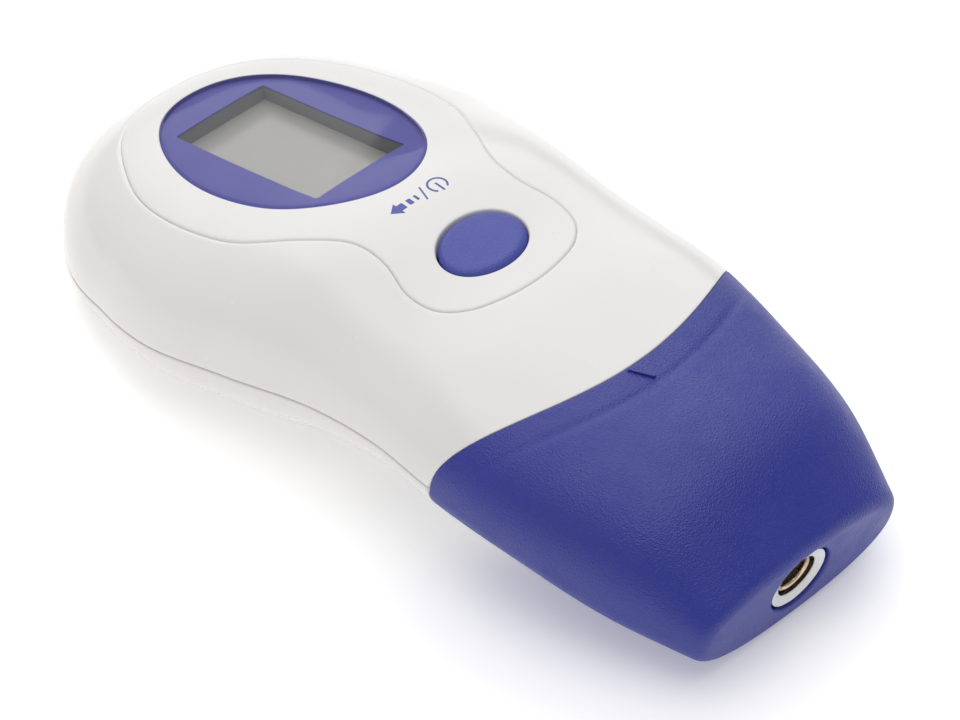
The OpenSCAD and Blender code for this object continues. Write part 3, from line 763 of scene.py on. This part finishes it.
def lower_case():
    loop, rows = half_edges(math.pi, 2 * math.pi)
    holes = [door_loop(DOOR_GAP)] + [circle(x, y, HEAD_HOLE_R) for x, y in CASE_SCREWS]
    sheet_holes = [plan_to_sheet(h, False) for h in holes]
    rows += [(plan_to_sheet(offset(h, d), False), True) for h in holes for d in (0.06, 0.14, 0.24, 0.45)]
    grid = sheet_grid(math.pi * AROUND, 2 * math.pi * AROUND)
    pts, faces = triangulate([loop] + sheet_holes, rows, grid, CLEAR)
    s, b, depth = shell_surface(pts)
    outer = skin(s, b)
    under = (outer[:, 2] < parting_z(s) * 0.6) & (s < 70)
    for h in holes:
        depth = np.where(under, np.maximum(depth, roll(distance(h, plan_of(outer)), HOLE_EDGE)), depth)
    normal = outward(s, b)
    inner = skin(np.maximum(s, FLOOR_T), b, FLOOR_T)
    outer = flat_foot(outer)
    flat = (outer[:, 2] <= 0.6)[:, None]
    outer = outer - np.where(flat, [0, 0, -1], normal) * depth[:, None]
    outer[:, 2] -= SLACK * (off_parting(s, b) < 1)
    inner[:, 2] -= SLACK
    parts = [thick(outer, inner, faces)]
    for x, y in CASE_SCREWS:
        base, top = belly_at(x, y), float(parting_z(x)) - 0.4
        profile = [(HEAD_HOLE_R, base + 1.1), (HEAD_HOLE_R, base + 2.4), (SHANK_HOLE_R, base + 2.4),
                   (SHANK_HOLE_R, top), (BOSS_R, top), (BOSS_R, base + 1.4), (HEAD_HOLE_R + 0.2, base + 1.1)]
        parts.append(lathe(profile, upright(x - MID_S, y), 48))
    return gather(parts)


def door():
    """The battery door: a plate with rounded edges and a stepped bore for its screw."""
    outline, r = door_loop(0.0) - [MID_S, 0], 0.25
    turns = [k / 4 * math.pi / 2 for k in range(5)]
    lines = [(-r * (1 - math.sin(t)), r * (1 - math.cos(t))) for t in turns]
    lines += [(-r * (1 - math.cos(t)), DOOR_T - r * (1 - math.sin(t))) for t in turns]
    parts = [stack([np.column_stack([offset(outline, d), np.full(len(outline), z)]) for d, z in lines])]
    flat = offset(outline, -r)
    x0, y0 = flat.min(axis=0)
    x1, y1 = flat.max(axis=0)
    gx, gy = np.meshgrid(np.arange(x0, x1, 1.5), np.arange(y0, y1, 1.5))
    grid = np.stack([gx.ravel(), gy.ravel()], axis=1)
    wide, narrow = (circle(DOOR_SCREW_S - MID_S, 0, radius) for radius in (2.05, 1.05))
    for z, hole, turn in ((0.0, wide, -1), (DOOR_T, narrow, 1)):
        pts, tris = triangulate([flat, hole], [], grid, 0.5)
        parts.append((np.column_stack([pts, np.full(len(pts), z)]), [list(f[::turn]) for f in tris]))
    bore = ((wide, 0.0), (wide, 0.9), (narrow, 0.9), (narrow, DOOR_T))
    parts.append(stack([np.column_stack([line, np.full(len(line), z)]) for line, z in bore]))
    return gather(parts)


def screw(x, y, top, low, head_h):
    """A screw whose head faces down, with a cross recess of four arms, and a threaded shank."""
    cols = 64
    turn = np.arange(cols) * 2 * math.pi / cols
    arm = np.abs(np.sin(2 * turn)) ** 0.6
    recess = 0.28 * SCREW_HEAD_R + 0.42 * SCREW_HEAD_R * (1 - arm)

    def ring(radius, z):
        flat = [x - MID_S + radius * np.cos(turn), y + radius * np.sin(turn)]
        return np.stack(flat + [np.full(cols, z)], axis=1)

    rings = [ring(0.01, low + 0.62), ring(recess * 0.75, low + 0.6), ring(recess, low + 0.05)]
    head = ((0.8, 0), (0.95, 0.1), (1, 0.3), (1, head_h))
    rings += [ring(SCREW_HEAD_R * part, low + h) for part, h in head] + [ring(SHANK_R, low + head_h)]
    z = low + head_h
    while z < top - 0.6:
        rings += [ring(SHANK_R, z), ring(SHANK_R - THREAD_DEPTH * SHANK_R, z + THREAD_PITCH / 2)]
        z += THREAD_PITCH
    return stack(rings + [ring(0.3, top)], cap_first=True, cap_last=True)


piece("case_lower", *lower_case(), WHITE, "case", ["lower_shell"], "white_case")
piece("door_battery", *door(), WHITE, "door", ["battery_door"], "white_case")
piece("screw_door", *screw(DOOR_SCREW_S, 0, 5.5, 0.1, 0.78), STEEL, "door", ["door_screw"], "steel", sharp=30)
case_screws = [screw(x, y, float(parting_z(x)) + 5.4, belly_at(x, y) + HEAD_SEAT - CASE_HEAD_H, CASE_HEAD_H)
               for x, y in CASE_SCREWS]
piece("screws_case", *gather(case_screws), STEEL, "case", ["case_screws"], "steel", sharp=30)

# ---------------------------------------------------------------- display lens, its printed back, its bezel
LENS_PROUD, LENS_T, MASK_T, SKIRT, BEZEL_H = 0.14, 0.5, 0.25, 0.1, -1.25
LENS_EDGE, SHEET_GAP = 0.25, 0.02


def on_crown(line, lift):
    """Points of the crown over a display-frame line, raised along the display's normal."""
    s = over_deck(line[:, 0], line[:, 1])
    return skin(s, around(s, line[:, 1])) + DECK_Z * lift


def lens():
    """A plate that follows the crown, with a rounded rim."""
    unit, r = oval(2, 2, 180), LENS_EDGE
    scale = np.array([LENS_L / 2, LENS_W / 2]) - SKIRT
    flat = (0.04, 0.12, 0.22, 0.34, 0.46, 0.58, 0.7, 0.8, 0.88, 0.94)
    rings = [on_crown(unit * scale * f, LENS_PROUD) for f in flat]
    rings += [on_crown(unit * (scale - r * (1 - math.sin(t))), LENS_PROUD - r * (1 - math.cos(t)))
              for t in np.linspace(0, math.pi / 2, 7)]
    rings += [on_crown(unit * scale * f, -LENS_T) for f in (1,) + flat[::-1]]
    return stack(rings, cap_first=True, cap_last=True)


def by_angle(loop, angles):
    """Points of a star-shaped outline at the given angles."""
    reach = np.arctan2(loop[:, 1], loop[:, 0])
    order = np.argsort(reach)
    a = np.concatenate([reach[order] - 2 * math.pi, reach[order], reach[order] + 2 * math.pi])
    p = np.tile(loop[order], (3, 1))
    return np.stack([np.interp(angles, a, p[:, k]) for k in (0, 1)], axis=1)


window = resample(rounded_box(WINDOW_L, WINDOW_W, 0.25), 0.2) + [WINDOW_AT, 0]
rim_angles = np.sort(np.arctan2(window[:, 1], window[:, 0]))
window = by_angle(window, rim_angles)


def mask():
    """The printed sheet, which follows the lens's back and turns up around its rim."""
    rim = by_angle(oval(LENS_L, LENS_W, 400), rim_angles)
    lip = by_angle(oval(LENS_L - 2 * SKIRT, LENS_W - 2 * SKIRT, 400), rim_angles)
    across = np.linspace(0, 1, 8)
    top = -LENS_T - SHEET_GAP
    rings = [on_crown(window + (rim - window) * t, top - MASK_T) for t in across]
    rings += [on_crown(rim, LENS_PROUD - 0.22), on_crown(lip, LENS_PROUD - 0.2)]
    rings += [on_crown(window + (lip - window) * t, top) for t in across[::-1]]
    return stack(rings, wrap=True)


def bezel():
    """The window's wall between the printed sheet and the display's frame."""
    near, far = window * [1.012, 1.008], window * [1.06, 1.09]
    top = -LENS_T - SHEET_GAP - MASK_T
    rings = [on_crown(near, top), on_crown(far, top), deck(*far.T, BEZEL_H), deck(*near.T, BEZEL_H)]
    return stack(rings, wrap=True)


piece("lens_display", *lens(), LENS, "case", ["display_lens"], "clear_lens")
piece("mask_display", *mask(), MASK_BLUE, "case", ["display_mask"], "blue_mask")
piece("bezel_display", *bezel(), FRAME_GREY, "case", slot="dark_plastic")

# ---------------------------------------------------------------- push button
DOME_H, BUTTON_BASE, STEM_R, STEM_H = 0.28, -1.55, 1.9, -4.95


def button():
    """An oval key with a softly domed top, a flat back and a round stem over the switch."""
    cols = 150
    unit = oval(2, 2, cols)
    scale = np.array([BUTTON_L / 2, BUTTON_W / 2])
    rings = [(unit * scale * f, 0.0) for f in (0.05, 0.15, 0.27, 0.4, 0.53, 0.66, 0.77)]
    r = 0.75
    rings += [(unit * (scale - r * (1 - math.sin(t))), r * (1 - math.cos(t)) * 0.9)
              for t in np.linspace(0, math.pi / 2, 9)]
    solid = []
    for line, depth in rings:
        s = over_deck(line[:, 0] + BUTTON_DECK, line[:, 1])
        dome = DOME_H * (1 - np.hypot(line[:, 0] / scale[0], line[:, 1] / scale[1]) ** 2 * 0.35)
        solid.append(skin(s, around(s, line[:, 1])) + DECK_Z * (dome - depth)[:, None])
    stem = circle(BUTTON_DECK, 0, STEM_R, cols)
    for line in (unit * scale + [BUTTON_DECK, 0], unit * scale * 0.5 + [BUTTON_DECK, 0], stem):
        solid.append(deck(*line.T, BUTTON_H + BUTTON_BASE))
    solid.append(deck(*stem.T, STEM_H))
    return stack(solid, cap_first=True, cap_last=True)


piece("button_power", *button(), BUTTON_BLUE, "button", ["power_button"], "blue_button", sharp=50)

# ---------------------------------------------------------------- printed pictograms
INK_T, INK_SUNK = 0.02, 0.03


def decal(outline):
    """A thin printed shape on the crown, from a closed outline in the plan."""
    loop = resample(np.array(outline, float), 0.12)
    area = 0.5 * np.sum(loop[:, 0] * np.roll(loop[:, 1], -1) - loop[:, 1] * np.roll(loop[:, 0], -1))
    loop = loop if area > 0 else loop[::-1]
    x0, y0 = loop.min(axis=0)
    x1, y1 = loop.max(axis=0)
    gx, gy = np.meshgrid(np.arange(x0, x1, 0.3), np.arange(y0, y1, 0.3))
    pts, tris = triangulate([loop], [], np.stack([gx.ravel(), gy.ravel()], axis=1), 0.1)
    b = around(pts[:, 0], pts[:, 1])
    base, n = skin(pts[:, 0], b), outward(pts[:, 0], b)
    return thick(base + n * INK_T, base - n * INK_SUNK, tris)


def bar(x0, y0, x1, y1, w):
    """A straight stroke."""
    d = np.array([x1 - x0, y1 - y0])
    n = np.array([-d[1], d[0]]) / np.hypot(*d) * w / 2
    a, b = np.array([x0, y0]), np.array([x1, y1])
    return [a - n, b - n, b + n, a + n]


def arc(x, y, r, t0, t1, w):
    """A curved stroke."""
    t = np.linspace(t0, t1, 60)
    lines = [np.stack([x + (r + e) * np.cos(t), y + (r + e) * np.sin(t)], axis=1) for e in (w / 2, -w / 2)]
    return np.concatenate([lines[0], lines[1][::-1]])


ICON_S = 48.3
POWER_Y, POWER_R, STROKE = 2.35, 1.12, 0.24
# an arrow of three pieces, a slash and a power sign
icons = [
    [(ICON_S, -4.6), (ICON_S + 1, -3.35), (ICON_S + 0.5, -3.35), (ICON_S + 0.5, -2.55), (ICON_S - 0.5, -2.55),
     (ICON_S - 0.5, -3.35), (ICON_S - 1, -3.35)],
    bar(ICON_S, -2.05, ICON_S, -1.45, 0.92), bar(ICON_S, -0.95, ICON_S, -0.62, 0.86),
    bar(ICON_S - 1.05, 0.61, ICON_S + 1.05, -0.1, 0.2),
    arc(ICON_S, POWER_Y, POWER_R, math.radians(38), math.radians(322), STROKE),
    bar(ICON_S - 0.35, POWER_Y, ICON_S + 1.2, POWER_Y, STROKE),
]
piece("pictograms", *gather([decal(shape) for shape in icons]), INK, "case", slot="blue_mask", merge=0)

# ---------------------------------------------------------------- probe, tube and the collar under the cap
COLLAR_S, NECK, NECK_R, BORE_R = 84.0, -17.0, 5.6, 4.15


def collar():
    """The block under the cap: it leaves the case at the cap's edge and narrows to a stepped neck."""
    b = np.arange(160) * 2 * math.pi / 160
    mouth = seam(b)

    def ring(s, inset):
        return skin(np.broadcast_to(s, b.shape), b, inset)

    def round_ring(r, z):
        return probe(r, b, NECK + z)

    outer = [ring(mouth - 4, FLOOR_T + 0.3), ring(mouth - 0.2, FLOOR_T + 0.3), ring(mouth - 0.1, WALL + 0.5),
             ring(mouth + 0.1, WALL + 0.35), ring((mouth + COLLAR_S) / 2, WALL + 0.4)]
    outer += [ring(COLLAR_S + on, WALL + deep) for on, deep in ((-0.3, 0.6), (0.3, 0.8), (0.7, 1.2))]
    last, to = outer[-1], round_ring(NECK_R, 0)
    for t in (0.15, 0.35, 0.55, 0.75, 0.9):
        w = t * t * (3 - 2 * t)
        outer.append(last * (1 - w) + to * w)
    neck = ((5.5, 0.3), (5.4, 2), (5.1, 3.7), (4.9, 4), (BORE_R, 4), (BORE_R, -1))
    outer += [round_ring(r, z) for r, z in neck]
    inner = [last * 0.4 + round_ring(4.9, -1) * 0.6, ring(COLLAR_S - 0.8, WALL + 2.2)]
    inner += [ring(mouth + 0.1, FLOOR_T + 1.3), ring(mouth - 4, FLOOR_T + 1.3)]
    return stack(outer + inner, wrap=True)


TUBE_BACK = -12.0


def probe_body():
    """The ear probe: a slightly dished ring at its tip and a long plain neck."""
    r, neck_end, wide_bore = TIP_D / 2 + 0.06, -21.6, 3.4
    ring = [(TUBE_R + 0.3, -1.6), (TUBE_R + 0.3, -0.46), (TUBE_R + 0.1, -0.44), (TUBE_R + 0.11, -0.36),
            (TUBE_R + 0.2, -0.3), (r - 0.25, -0.01), (r - 0.14, 0), (r - 0.04, -0.05), (r, -0.2),
            (r - 0.04, -1), (TIP_D / 2, -2), (4.0, -5), (4.08, -8)]
    profile = [(radius, z - TIP_BACK) for radius, z in ring]
    profile += [(4.1, neck_end), (wide_bore, neck_end), (wide_bore, TUBE_BACK), (TUBE_R + 0.05, TUBE_BACK),
                (TUBE_R + 0.05, -TIP_BACK - 1.7)]
    return lathe(profile, probe, 128)


def wave_tube():
    """The metal tube in the probe, whose round lip stands a little behind the probe's end."""
    lip, lip_r, bore_r, end = -TIP_BACK - 0.72, 0.35, 1.9, TUBE_BACK + 0.1
    profile = [(TUBE_R, end), (TUBE_R, -TIP_BACK - 1.8), (TUBE_R - 0.02, lip - 0.36)]
    profile += [(TUBE_R - 0.02 + lip_r * (math.cos(t) - 1), lip + lip_r * (math.sin(t) - 1))
                for t in np.linspace(0, math.pi, 13)]
    return lathe(profile + [(bore_r, lip - 0.6), (bore_r, end)], probe, 112)


def tube_shade_rings():
    """Painted shade as dark pieces: a dark ring in the gap around the tube's lip, and a dark sheet over the
    tube's bore with fine rings, both standing in for the shade in these hollows.
    """
    z, end, bore_shade_r, ring_pitch = -TIP_BACK - 1.5, TUBE_BACK + 0.2, 1.89, 0.48
    shaded_gap_ring = [(TUBE_R + 0.28, z), (TUBE_R + 0.28, -TIP_BACK - 0.48), (TUBE_R + 0.08, -TIP_BACK - 0.46),
            (TUBE_R + 0.02, z)]
    bore_shade = [(bore_shade_r, end), (bore_shade_r, z)]
    while z > -9.5:
        bore_shade += [(1.68, z - 0.04), (1.64, z - 0.12), (1.68, z - 0.2), (1.85, z - 0.3), (1.85, z - 0.38)]
        z -= ring_pitch
    return gather([lathe(shaded_gap_ring, probe, 112), lathe(bore_shade + [(1.7, z), (1.7, end)], probe, 112)])


piece("collar_nose", *collar(), WHITE, "case", ["nose_frame"], "white_case")
piece("probe_ear", *probe_body(), PROBE_WHITE, "case", ["ear_probe"], "white_probe")
piece("tube_wave", *wave_tube(), CHAMPAGNE, "case", ["waveguide_tube"], "gold_tube", sharp=30)
# painted shade: a dark ring and a dark sheet in the tube's hollows, standing in for the shade there
piece("bore_shade_tube", *tube_shade_rings(), PAINTED_SHADE_METAL, "case", slot="gold_tube", sharp=30)

# ---------------------------------------------------------------- cap
CREASE_AT, CREASE_W, CREASE_DEPTH, BODY_RISE = 3.25, 0.42, 0.19, 0.12


def cap_skin(s, b):
    """The cap's outside: a flush lip along the mouth, a crease, and a body whose rise fades to the tip."""
    d = s - seam(b)
    t = np.clip((d - CREASE_AT) / 1.6 + 0.35, 0, 1)
    fade = np.clip(1 - (d - CREASE_AT) / 16, 0, 1) ** 2
    up = BODY_RISE * t * t * (3 - 2 * t) * np.where(d > CREASE_AT, fade, 1)
    up = up - CREASE_DEPTH * np.exp(-((d - CREASE_AT) / CREASE_W) ** 2)
    u, _ = section(s, b)
    up = up * (1 - np.clip(np.abs(u) * 1.25 - 0.2, 0, 1) ** 4)
    return skin(s, b) + outward(s, b) * up[..., None]


MOUTH_R, HOLE_GAP, RIM_R = 0.22, 0.35, 0.3


def cap_body():
    """The cap as one closed solid: mouth, outside, end face with its hole, and inside."""
    cols = 240
    b = np.arange(cols) * 2 * math.pi / cols
    mouth, r = seam(b) + CAP_GAP, MOUTH_R
    outer = [skin(mouth + 0.02, b, 1.0)]
    outer += [cap_skin(mouth + r * (1 - math.sin(t)), b) - outward(mouth + r, b) * (r * (1 - math.cos(t)))
              for t in np.linspace(math.pi / 2, 0, 7)]
    steps = np.concatenate([np.linspace(0, 0.2, 16)[1:], np.linspace(0.2, 1, 36)[1:]])
    start = mouth + r
    end = BODY_L - END_R
    outer += [cap_skin(start + (end - start) * k, b) for k in steps]
    outer += [skin(np.full(cols, BODY_L - END_R * (1 - math.sin(t))), b, END_R * (1 - math.cos(t)))
              for t in np.linspace(0, math.pi / 2, 9)[1:]]
    edge = outer[-1]
    edge_up = (edge[:, 2] - TIP_Z) / math.cos(PITCH)
    turn = np.arctan2(edge_up, edge[:, 1])
    reach = np.hypot(edge[:, 1], edge_up) - 0.02
    hole_r = TIP_D / 2 + HOLE_GAP
    rim = [probe(np.minimum(hole_r + RIM_R * (1 - math.sin(t)), reach), turn, -RIM_R * (1 - math.cos(t)))
           for t in np.linspace(0, math.pi / 2, 7)] + [probe(hole_r, turn, -WALL)]
    outer += [edge + (rim[0] - edge) * k for k in (0.06, 0.2, 0.4, 0.6, 0.8)]
    back = skin(np.full(cols, BODY_L - WALL), b, WALL)
    inner = [rim[-1] + (back - rim[-1]) * k for k in (0.5, 1)]
    inner += [skin(mouth + (BODY_L - WALL - mouth) * k, b, WALL) for k in np.linspace(1, 0, 16)[1:]]
    return stack(outer + rim + inner, wrap=True)


def cap_arrow():
    """A small raised triangle on the cap's lip that points to the tip and rises towards it."""
    s0, run, half_w, tip_w = CAP_S + 0.3, 2.35, 1.6, 0.1
    loop = resample(np.array([(s0, -half_w), (s0 + run, -tip_w), (s0 + run, tip_w), (s0, half_w)]), 0.2)
    gx, gy = np.meshgrid(np.arange(s0, s0 + 3, 0.35), np.arange(-2, 2, 0.35))
    rows = [(offset(loop, -d), True) for d in (0.03, 0.1)]
    pts, tris = triangulate([loop], rows, np.stack([gx.ravel(), gy.ravel()], axis=1), 0.1)
    s, b = pts[:, 0], around(pts[:, 0], pts[:, 1])
    lift = 0.24 + 0.1 * (s - s0) / run - roll(distance(loop, pts), 0.08)
    return thick(skin(s, b) + outward(s, b) * lift[:, None], skin(s, b, 0.7), tris)


piece("cap_cover", *gather([cap_body(), cap_arrow()]), CAP_BLUE, "cap", ["cap"], "blue_cap", merge=0)

# ---------------------------------------------------------------- floor, lights and camera
FLOOR_GLOW, WORLD_LIGHT = 0.26, 0.36
bpy.ops.mesh.primitive_plane_add(size=6, location=(0, 0, -0.0001))
floor = bpy.context.object
floor.name = "floor"
floor.data.materials.append(plastic("floor_pale", (0.97, 0.97, 0.97), rough=0.8, vary=0.005, grain=0.02,
                                    grain_size=2.0, specular=0.1))
floor_shader = floor.data.materials[0].node_tree.nodes["Principled BSDF"]
floor_shader.inputs["Emission Color"].default_value = (1, 1, 1, 1)
floor_shader.inputs["Emission Strength"].default_value = FLOOR_GLOW

world = bpy.context.scene.world or bpy.data.worlds.new("world")
bpy.context.scene.world = world
world.use_nodes = True
world.node_tree.nodes["Background"].inputs["Color"].default_value = (1, 1, 1, 1)
world.node_tree.nodes["Background"].inputs["Strength"].default_value = WORLD_LIGHT


def area_light(name, place, size, power, colour=(1, 1, 1)):
    """A rectangular light that faces the object."""
    light = bpy.data.lights.new(name, "AREA")
    light.shape, light.size, light.size_y = "RECTANGLE", size[0], size[1]
    light.energy, light.color = power, colour
    obj = bpy.data.objects.new(name, light)
    bpy.context.scene.collection.objects.link(obj)
    obj.location = place
    obj.rotation_euler = (-Vector(place)).to_track_quat("-Z", "Y").to_euler()


area_light("back", (-0.80, 0.76, 1.0), (1.8, 1.5), 12.0)
area_light("top", (0.1, -0.1, 1.2), (1.1, 1.1), 5.8)
area_light("front", (-0.55, -1.1, 0.5), (1.4, 0.9), 1.5, (1, 0.92, 0.84))

AZ, EL, ROLL = math.radians(46.3), math.radians(42.35), math.radians(-0.79)
TARGET, RANGE = Vector((8.75, -4.44, 12.6)) * MM, 482.8 * MM
SENSOR_W, FOCAL = 36, 167.8
back = Vector((math.sin(AZ) * math.cos(EL), -math.cos(AZ) * math.cos(EL), math.sin(EL)))
right = Vector((math.cos(AZ), math.sin(AZ), 0))
up = back.cross(right)
x_axis = right * math.cos(ROLL) + up * math.sin(ROLL)
y_axis = up * math.cos(ROLL) - right * math.sin(ROLL)
camera_data = bpy.data.cameras.new("camera")
camera_data.sensor_width = SENSOR_W
camera_data.lens = FOCAL
camera = bpy.data.objects.new("camera", camera_data)
bpy.context.scene.collection.objects.link(camera)
turned = Matrix((x_axis, y_axis, back)).transposed()
camera.matrix_world = Matrix.LocRotScale(TARGET + back * RANGE, turned, None)
bpy.context.scene.camera = camera
bpy.context.scene.view_settings.view_transform = "Standard"
